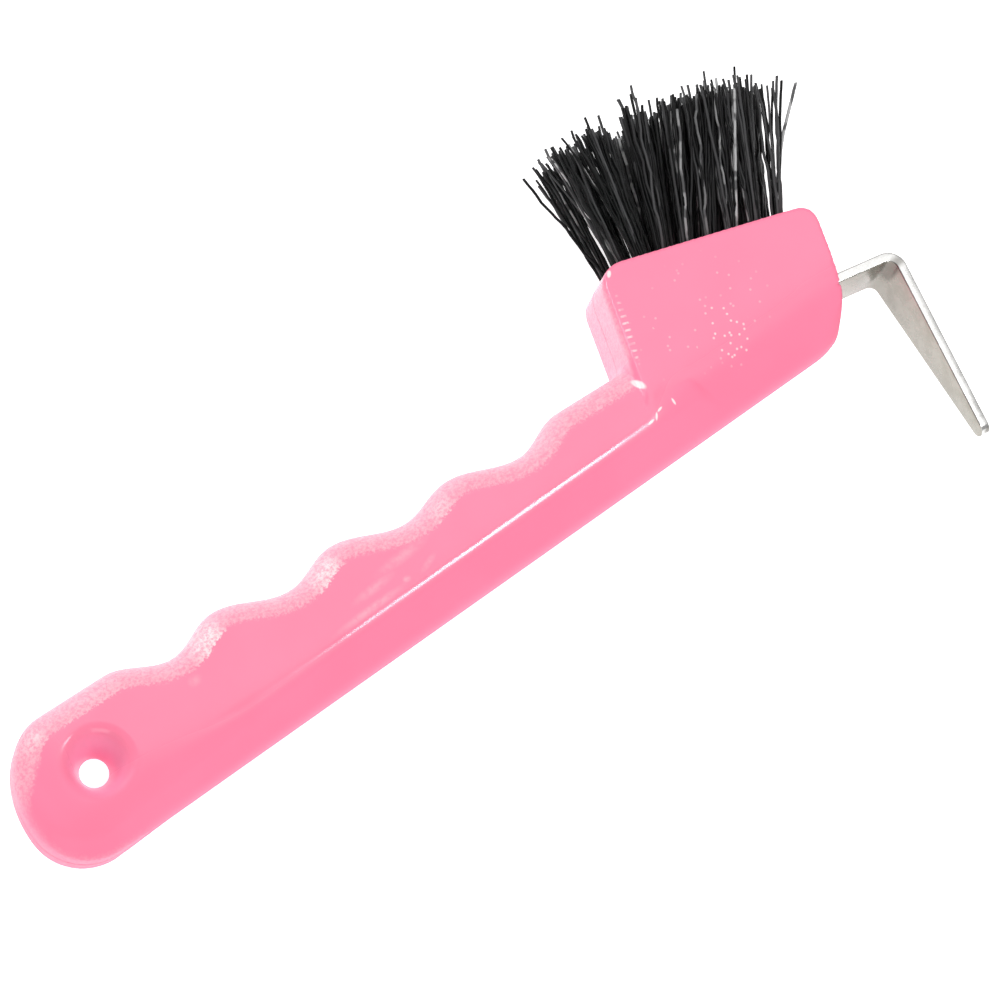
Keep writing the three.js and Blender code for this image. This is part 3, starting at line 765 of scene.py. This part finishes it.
def make_tuft(tuft, material, rng):
    """A bundle of filaments that spreads from its hole, with uneven ends and a few strays."""
    axis = tuft["axis"]
    side = np.cross(axis, (0, 0, 1.0))
    side /= np.linalg.norm(side)
    up = np.cross(side, axis)
    place = (tuft["mouth"][:2] - HEAD_CORNER) @ ALONG
    thin = tuft["node"] == THIN_TUFT
    count = {THIN_TUFT: THIN_FILAMENTS, LOOSE_TUFT: LOOSE_FILAMENTS}.get(tuft["node"], FILAMENTS)
    lean = THIN_SWEEP if thin else SWEEP * math.exp(-(((place - SWEEP_PLACE) / SWEEP_WIDTH) ** 2))
    tuft_lean = np.array([lean * tuft["length"], 0]) + deviation(rng, TUFT_DEVIATION)
    angles = np.linspace(0, 2 * math.pi, FILAMENT_SIDES, endpoint=False)
    circle = np.cos(angles)[:, None] * side + np.sin(angles)[:, None] * up
    lowest = -HEAD_THICKNESS / 2 + FLOOR_CLEARANCE
    vertices = []
    faces = []
    tint = []
    for n in range(count):
        # Roots are spread evenly over the hole's circle.
        root_radius = BUNDLE_RADIUS * math.sqrt((n + 0.5) / count) * ROOT_FILL
        root_angle = n * GOLDEN_ANGLE + rng.uniform(-0.3, 0.3)
        root = root_radius * np.array([math.cos(root_angle), math.sin(root_angle)])
        looseness = FLYAWAY_FACTOR if rng.random() < FLYAWAY_CHANCE else 1.0
        spread = tuft_lean + root * rng.uniform(0.2, 1.1)
        spread = spread + deviation(rng, FILAMENT_DEVIATION) * looseness
        bow = deviation(rng, BOW_DEVIATION) * looseness
        reach = tuft["length"] + rng.gauss(-0.1, 1.0)
        if rng.random() < LONG_CHANCE:
            reach += rng.uniform(*LONG_EXTRAS)
        if place < SPLAYED_PLACE and rng.random() < SPLAYED_CHANCE:
            spread[0] -= rng.uniform(*SPLAYED_LEANS)
            bow[0] -= rng.uniform(*SPLAYED_BOWS)
        shade = rng.random()
        stray = thin and n == count - 1
        if stray:
            spread[0] = 0.4 * STRAY_REACH
            bow[0] = 0.6 * STRAY_REACH
            # The stray is painted with the glint colour along its length: a painted highlight.
            shade = 1.0
        shape = filament_line(tuft, root, spread, bow, reach, rng)
        line = shape @ np.array([side, up, axis]) + tuft["mouth"]
        line[:, 2] = np.maximum(line[:, 2], lowest)
        radius = FILAMENT_RADIUS * rng.uniform(*THICKNESSES)
        if stray:
            radius = FILAMENT_RADIUS * STRAY_THICKNESS
        faces.extend(tube_faces(len(tint)))
        vertices.append((line[:, None, :] + circle * radius).reshape(-1, 3))
        tint.extend([shade] * (FILAMENT_STEPS * FILAMENT_SIDES))
    name = tuft["node"].replace("tuft_", "bristles_")
    piece = mesh_object(name, np.concatenate(vertices), faces, material)
    add_attribute(piece, "shade", tint)
    return piece


# ---------------------------------------------------------------- materials

def new_material(name):
    material = bpy.data.materials.new(name)
    material.use_nodes = True
    tree = material.node_tree
    return material, tree, tree.nodes["Principled BSDF"]


def node(tree, kind, inputs=None, **settings):
    made = tree.nodes.new(kind)
    for key, value in settings.items():
        setattr(made, key, value)
    for key, value in (inputs or {}).items():
        if isinstance(value, bpy.types.NodeSocket):
            tree.links.new(value, made.inputs[key])
        else:
            made.inputs[key].default_value = value
    return made


def math_node(tree, operation, a, b=0.0):
    return node(tree, "ShaderNodeMath", {0: a, 1: b}, operation=operation).outputs[0]


def ramp_node(tree, value, low, high, out_low=0.0, out_high=1.0):
    inputs = {"Value": value, "From Min": low, "From Max": high, "To Min": out_low, "To Max": out_high}
    return node(tree, "ShaderNodeMapRange", inputs, interpolation_type="SMOOTHSTEP").outputs[0]


def noise_node(tree, vector, scale, detail=2.0, roughness=0.5):
    inputs = {"Vector": vector, "Scale": scale, "Detail": detail, "Roughness": roughness}
    return node(tree, "ShaderNodeTexNoise", inputs).outputs["Fac"]


def attribute(tree, name):
    return node(tree, "ShaderNodeAttribute", attribute_name=name).outputs["Fac"]


def mix_colour(tree, factor, a, b):
    made = node(tree, "ShaderNodeMix", data_type="RGBA")
    for socket, value in ((made.inputs[0], factor), (made.inputs[6], a), (made.inputs[7], b)):
        if isinstance(value, bpy.types.NodeSocket):
            tree.links.new(value, socket)
        else:
            socket.default_value = value
    return made.outputs[2]


def plan_position(tree):
    """The plan frame's millimetres, as a vector."""
    position = node(tree, "ShaderNodeTexCoord").outputs["Object"]
    moved = node(tree, "ShaderNodeVectorMath", {0: position, 1: tuple(PLAN_ORIGIN)}, operation="SUBTRACT")
    inputs = {0: moved.outputs[0], "Scale": 1 / MM}
    return node(tree, "ShaderNodeVectorMath", inputs, operation="SCALE").outputs[0]


def in_frame(tree, plan, centre, turn, sizes):
    """The plan vector from a centre, turned about Z and divided by sizes."""
    made = node(tree, "ShaderNodeMapping", {
        "Vector": plan, "Location": centre, "Rotation": (0, 0, turn), "Scale": sizes,
    }, vector_type="TEXTURE")
    return made.outputs[0]


def ellipsoid_distance(tree, plan, centre, turn, sizes):
    """0 at a centre, and 1 on an ellipsoid of these half sizes."""
    local = in_frame(tree, plan, centre, turn, sizes)
    return node(tree, "ShaderNodeVectorMath", {0: local}, operation="LENGTH").outputs["Value"]


def blob(tree, plan, centre, turn, sizes):
    """1 at a centre, falling to 0 on an ellipsoid of these half sizes."""
    distance = ellipsoid_distance(tree, plan, centre, turn, sizes)
    return ramp_node(tree, distance, 0.55, 1.0, 1.0, 0.0)


def tick_marks(tree, plan):
    """A row of short raised bars along the head's butt-end edge, which the material also paints pale as
    glints.
    """
    middle = (TICKS_FROM[0] + TICKS_TO[0]) / 2, (TICKS_FROM[1] + TICKS_TO[1]) / 2, HEAD_THICKNESS / 2
    dx, dy = TICKS_TO[0] - TICKS_FROM[0], TICKS_TO[1] - TICKS_FROM[1]
    half = math.hypot(dx, dy) / 2
    turn = math.atan2(dy, dx)
    area = blob(tree, plan, middle, turn, (half * 1.1, TICK_LENGTH, 2.0))
    local = node(tree, "ShaderNodeSeparateXYZ", {0: in_frame(tree, plan, middle, turn, (1, 1, 1))})
    wave = math_node(tree, "SINE", math_node(tree, "MULTIPLY", local.outputs[0], 2 * math.pi / TICK_PITCH))
    patchy = ramp_node(tree, noise_node(tree, plan, 0.9, 1.0), 0.35, 0.6, 0.25, 1.0)
    bars = ramp_node(tree, wave, 0.2, 0.9)
    return math_node(tree, "MULTIPLY", math_node(tree, "MULTIPLY", area, patchy), bars)


def speck_marks(tree, plan):
    """Fine raised specks on the head, which the material also paints pale as glints, thickest over the
    tang's inner end.
    """
    cells = node(tree, "ShaderNodeTexVoronoi", {"Vector": plan, "Scale": 0.6}, voronoi_dimensions="2D")
    dot = ramp_node(tree, cells.outputs["Distance"], 0.09, 0.2, 1.0, 0.0)
    chance = node(tree, "ShaderNodeSeparateXYZ", {0: cells.outputs["Color"]}).outputs[0]
    near = blob(tree, plan, *DENSE_SPECKS)
    far = blob(tree, plan, *SPARSE_SPECKS)
    dense = math_node(tree, "MULTIPLY", near, math_node(tree, "GREATER_THAN", chance, 0.2))
    sparse = math_node(tree, "MULTIPLY", far, math_node(tree, "GREATER_THAN", chance, 0.8))
    area = math_node(tree, "MAXIMUM", dense, math_node(tree, "MULTIPLY", sparse, 0.4))
    return math_node(tree, "MULTIPLY", dot, area)


# Painted highlights: the small bright glints on the front face.
def glint_marks(tree, plan):
    total = 0.0
    for x, y, length, width, angle in PAINTED_GLINTS:
        mark = blob(tree, plan, (x, y, HEAD_THICKNESS / 2), math.radians(angle), (length, width, 3.0))
        total = math_node(tree, "MAXIMUM", mark, total)
    return total


# Painted reflections: soft pale smears on the grip's face.
def reflection_smears(tree, plan):
    total = 0.0
    for x, y, length, width, angle, strength in REFLECTION_SMEARS:
        centre = (x, y, HANDLE_THICKNESS / 2)
        distance = ellipsoid_distance(tree, plan, centre, math.radians(angle), (length, width, 4.0))
        mark = ramp_node(tree, distance, 0.0, 1.25, strength, 0.0)
        total = math_node(tree, "MAXIMUM", mark, total)
    patchy = ramp_node(tree, noise_node(tree, plan, 0.8, 2.0), 0.3, 0.6, 0.5, 1.3)
    return math_node(tree, "MULTIPLY", total, patchy)


def pink_plastic():
    material, tree, shader = new_material("pink_plastic")
    plan = plan_position(tree)
    inside_band = attribute(tree, "inside_band")
    frost_and_wall_sheen = attribute(tree, "frost_and_wall_sheen")
    lit_flank = attribute(tree, "lit_flank")
    facet = attribute(tree, "facet")
    bell = attribute(tree, "bell")
    cloud = noise_node(tree, plan, 0.06, 2.0)
    speckle = noise_node(tree, plan, 1.5, 3.0, 0.75)
    grit = ramp_node(tree, speckle, 0.42, 0.6)

    ragged = math_node(tree, "ADD", inside_band, ramp_node(tree, speckle, 0.3, 0.7, -0.35, 0.35))
    soft_edge = ramp_node(tree, ragged, -0.2, 1.1)
    crisp_edge = ramp_node(tree, ragged, 0.0, 0.35)
    # The frost's whitening is partly the band's own pale colour and partly painted sheen; on the flanks it
    # is a painted highlight.
    even_frost_and_sheen = math_node(tree, "MULTIPLY", soft_edge, ramp_node(tree, speckle, 0.35, 0.65, 0.12, 0.42))
    flank_highlight = math_node(tree, "MULTIPLY", crisp_edge, ramp_node(tree, speckle, 0.36, 0.6, 0.3, 1.0))
    flank_highlight = math_node(tree, "MULTIPLY", flank_highlight, lit_flank)
    frost_and_sheen = math_node(tree, "MULTIPLY", math_node(tree, "MAXIMUM", even_frost_and_sheen, flank_highlight), frost_and_wall_sheen)
    band = math_node(tree, "MULTIPLY", soft_edge, frost_and_wall_sheen)

    base = mix_colour(tree, ramp_node(tree, cloud, 0.3, 0.7), PINK_DEEP, PINK_LIGHT)
    # Painted fill light: the hole's bell is painted a lighter pink.
    base = mix_colour(tree, bell, base, BELL_FILL_PINK)
    # Painted highlights and reflections: the raised marks are painted pale as glints, and the smears and
    # glints are painted on; with the frost they whiten the base colour.
    marks = math_node(tree, "MAXIMUM", tick_marks(tree, plan), speck_marks(tree, plan))
    glints = glint_marks(tree, plan)
    glints_and_reflections = math_node(tree, "MAXIMUM", math_node(tree, "MULTIPLY", marks, 0.7), reflection_smears(tree, plan))
    glints_and_reflections = math_node(tree, "MAXIMUM", glints_and_reflections, glints)
    whitening = math_node(tree, "MINIMUM", math_node(tree, "MAXIMUM", frost_and_sheen, glints_and_reflections), 1.0)
    tree.links.new(mix_colour(tree, whitening, base, FROST_AND_SHEEN_COLOUR), shader.inputs["Base Color"])

    # Glossy, but satin on the palm facets and matt in the frost.
    smooth = ramp_node(tree, cloud, 0.3, 0.7, 0.12, 0.18)
    matt_band = math_node(tree, "MULTIPLY", band, FROST_ROUGHNESS)
    satin_facet = math_node(tree, "MULTIPLY", facet, FACET_ROUGHNESS)
    satin = math_node(tree, "MAXIMUM", matt_band, satin_facet)
    tree.links.new(math_node(tree, "ADD", smooth, satin), shader.inputs["Roughness"])
    tree.links.new(ramp_node(tree, facet, 0.2, 1.0, 0.5, 0.12), shader.inputs["Specular IOR Level"])
    shader.inputs["IOR"].default_value = 1.5

    # Grit in the frost, a slow ripple and a fine grain everywhere, and raised marks.
    gritty = math_node(tree, "MULTIPLY", math_node(tree, "MULTIPLY", grit, band), GRIT_HEIGHT)
    ripple = math_node(tree, "MULTIPLY", noise_node(tree, plan, 0.22, 1.0), RIPPLE_HEIGHT)
    grain = math_node(tree, "MULTIPLY", speckle, GRAIN_HEIGHT)
    raised = math_node(tree, "MULTIPLY", marks, MARK_HEIGHT)
    height = math_node(tree, "ADD", math_node(tree, "ADD", gritty, ripple), grain)
    height = math_node(tree, "ADD", height, raised)
    bump = node(tree, "ShaderNodeBump", {"Height": height, "Distance": MM, "Strength": 0.7})
    tree.links.new(bump.outputs[0], shader.inputs["Normal"])
    return material


def plated_steel():
    material, tree, shader = new_material("plated_steel")
    plan = plan_position(tree)
    narrow_side = attribute(tree, "narrow_side")
    cloud = noise_node(tree, plan, 0.25, 4.0, 0.65)
    grain = noise_node(tree, plan, 2.2, 3.0, 0.6)
    face = mix_colour(tree, ramp_node(tree, cloud, 0.32, 0.68), STEEL_DARK, STEEL_LIGHT)
    edge = mix_colour(tree, ramp_node(tree, grain, 0.35, 0.65), STEEL_SHEEN_EDGE_DARK, STEEL_SHEEN_EDGE_LIGHT)
    # Painted shade in the crook of the bend and a painted dark reflection at the tip.
    crook = math_node(tree, "MULTIPLY", blob(tree, plan, *CROOK_SHADE), 0.7)
    tip = math_node(tree, "MULTIPLY", blob(tree, plan, *TIP_DARK_REFLECTION), 0.8)
    painted_dark = math_node(tree, "MAXIMUM", crook, tip)
    # Painted sheen: the narrow sides get a lighter steel than the broad faces.
    metal = mix_colour(tree, ramp_node(tree, narrow_side, 0.55, 0.95), face, edge)
    tree.links.new(mix_colour(tree, painted_dark, metal, STEEL_PAINTED_SHADE), shader.inputs["Base Color"])
    shader.inputs["Metallic"].default_value = 1.0
    tree.links.new(ramp_node(tree, cloud, 0.3, 0.7, 0.2, 0.34), shader.inputs["Roughness"])
    bump = node(tree, "ShaderNodeBump", {"Height": grain, "Distance": 0.01 * MM, "Strength": 0.5})
    tree.links.new(bump.outputs[0], shader.inputs["Normal"])
    return material


def black_filament():
    material, tree, shader = new_material("black_filament")
    plan = plan_position(tree)
    shade = attribute(tree, "shade")
    # Painted highlights: glints painted light grey in patches on a few filaments.
    glint_patch = ramp_node(tree, noise_node(tree, plan, 0.3, 1.5), 0.42, 0.54, 0.08, 1.0)
    grey = mix_colour(tree, ramp_node(tree, shade, 0.3, 0.9), FILAMENT_BLACK, FILAMENT_GREY)
    painted_glint = math_node(tree, "MULTIPLY", ramp_node(tree, shade, 0.87, 0.94), glint_patch)
    tree.links.new(mix_colour(tree, painted_glint, grey, FILAMENT_PAINTED_GLINT), shader.inputs["Base Color"])
    shader.inputs["Specular IOR Level"].default_value = 0.2
    fine = noise_node(tree, plan, 0.9, 2.0)
    tree.links.new(ramp_node(tree, fine, 0.3, 0.7, 0.38, 0.55), shader.inputs["Roughness"])
    bump = node(tree, "ShaderNodeBump", {"Height": fine, "Distance": 0.03 * MM, "Strength": 0.4})
    tree.links.new(bump.outputs[0], shader.inputs["Normal"])
    return material


def anchor_wire():
    material, tree, shader = new_material("anchor_wire")
    position = node(tree, "ShaderNodeTexCoord").outputs["Object"]
    drawn = noise_node(tree, position, 2400.0, 2.0)
    colour = mix_colour(tree, drawn, WIRE_DARK, WIRE_LIGHT)
    tree.links.new(colour, shader.inputs["Base Color"])
    shader.inputs["Metallic"].default_value = 1.0
    tree.links.new(ramp_node(tree, drawn, 0.3, 0.7, 0.25, 0.4), shader.inputs["Roughness"])
    return material


def floor_white():
    material, tree, shader = new_material("floor_white")
    position = node(tree, "ShaderNodeTexCoord").outputs["Object"]
    cloud = noise_node(tree, position, 6.0, 2.0)
    colour = mix_colour(tree, cloud, FLOOR_DARK, FLOOR_LIGHT)
    tree.links.new(colour, shader.inputs["Base Color"])
    shader.inputs["Roughness"].default_value = 0.9
    shader.inputs["Emission Color"].default_value = (1, 1, 1, 1)
    shader.inputs["Emission Strength"].default_value = FLOOR_GLOW
    return material


# ---------------------------------------------------------------- studio and camera

FLOOR_HALF = 1.5  # metres
FLOOR_GLOW = 0.85
WORLD_LIGHT = 0.42
CAMERA_AIM = Vector(to_row((112.24, 12.52, HEAD_THICKNESS / 2)))
CAMERA_AZIMUTH = math.radians(-156.84)
CAMERA_ELEVATION = math.radians(69.8)
CAMERA_DISTANCE = 0.9
CAMERA_ROLL = math.radians(30.56)
CAMERA_LENS = 165.6

# Direction from the object, distance, size across and up, and power in watts.
LIGHTS = {
    "overhead": ((0.317, 0.136, 0.938), 1.2, (0.95, 0.95), 3.5),
    "finger_side": ((-0.116, 0.951, 0.288), 0.9, (0.35, 0.25), 2.4),
    "high": ((-0.233, 0.48, 0.846), 0.9, (0.2, 0.2), 1.5),
    "ridge": ((0.179, -0.258, 0.481), 0.575, (0.125, 0.08), 0.8),
    "palm_fill": ((-0.6, -0.7, 0.4), 1.0, (0.6, 0.6), 2.0),
}


def unit(azimuth, elevation):
    flat = math.cos(elevation)
    return Vector((flat * math.cos(azimuth), flat * math.sin(azimuth), math.sin(elevation)))


def make_floor():
    z = CAD_BOX[0][2]
    corners = [(x * FLOOR_HALF, y * FLOOR_HALF, z) for x, y in ((-1, -1), (1, -1), (1, 1), (-1, 1))]
    mesh = bpy.data.meshes.new("floor")
    mesh.from_pydata(corners, [], [(0, 1, 2, 3)])
    mesh.materials.append(floor_white())
    floor = bpy.data.objects.new("floor", mesh)
    bpy.context.scene.collection.objects.link(floor)


def make_world():
    world = bpy.data.worlds.new("studio")
    world.use_nodes = True
    background = world.node_tree.nodes["Background"]
    background.inputs["Color"].default_value = (1, 1, 1, 1)
    background.inputs["Strength"].default_value = WORLD_LIGHT
    bpy.context.scene.world = world


def make_lights():
    for name, (towards, distance, size, power) in LIGHTS.items():
        lamp = bpy.data.lights.new(name, "AREA")
        lamp.shape = "RECTANGLE"
        lamp.size, lamp.size_y = size
        lamp.energy = power
        light = bpy.data.objects.new(name, lamp)
        place = Vector(towards).normalized()
        light.location = CAMERA_AIM + place * distance
        light.rotation_euler = place.to_track_quat("Z", "Y").to_euler()
        light.visible_camera = False
        bpy.context.scene.collection.objects.link(light)


def make_camera():
    data = bpy.data.cameras.new("camera")
    data.lens = CAMERA_LENS
    camera = bpy.data.objects.new("camera", data)
    back = unit(CAMERA_AZIMUTH, CAMERA_ELEVATION)
    camera.location = CAMERA_AIM + back * CAMERA_DISTANCE
    roll = Quaternion((0, 0, 1), CAMERA_ROLL)
    camera.rotation_mode = "QUATERNION"
    camera.rotation_quaternion = back.to_track_quat("Z", "Y") @ roll
    bpy.context.scene.collection.objects.link(camera)
    bpy.context.scene.camera = camera


# ---------------------------------------------------------------- assembly

scene = bpy.context.scene
scene.view_settings.view_transform = "Standard"

make_world()
make_floor()
make_lights()
make_camera()

tufts = read_tufts()

moulding = make_moulding(tufts, pink_plastic())
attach(moulding, "root")
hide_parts("handle_body")

pick = make_pick(plated_steel())
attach(pick, "root")
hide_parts("pick_blade")

filament = black_filament()
rng = random.Random(7)
for tuft in tufts:
    bristles = make_tuft(tuft, filament, rng)
    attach(bristles, "root")
    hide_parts(tuft["node"])

wire = anchor_wire()
for name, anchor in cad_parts.items():
    if name.startswith("anchor_"):
        anchor.data.materials.clear()
        anchor.data.materials.append(wire)
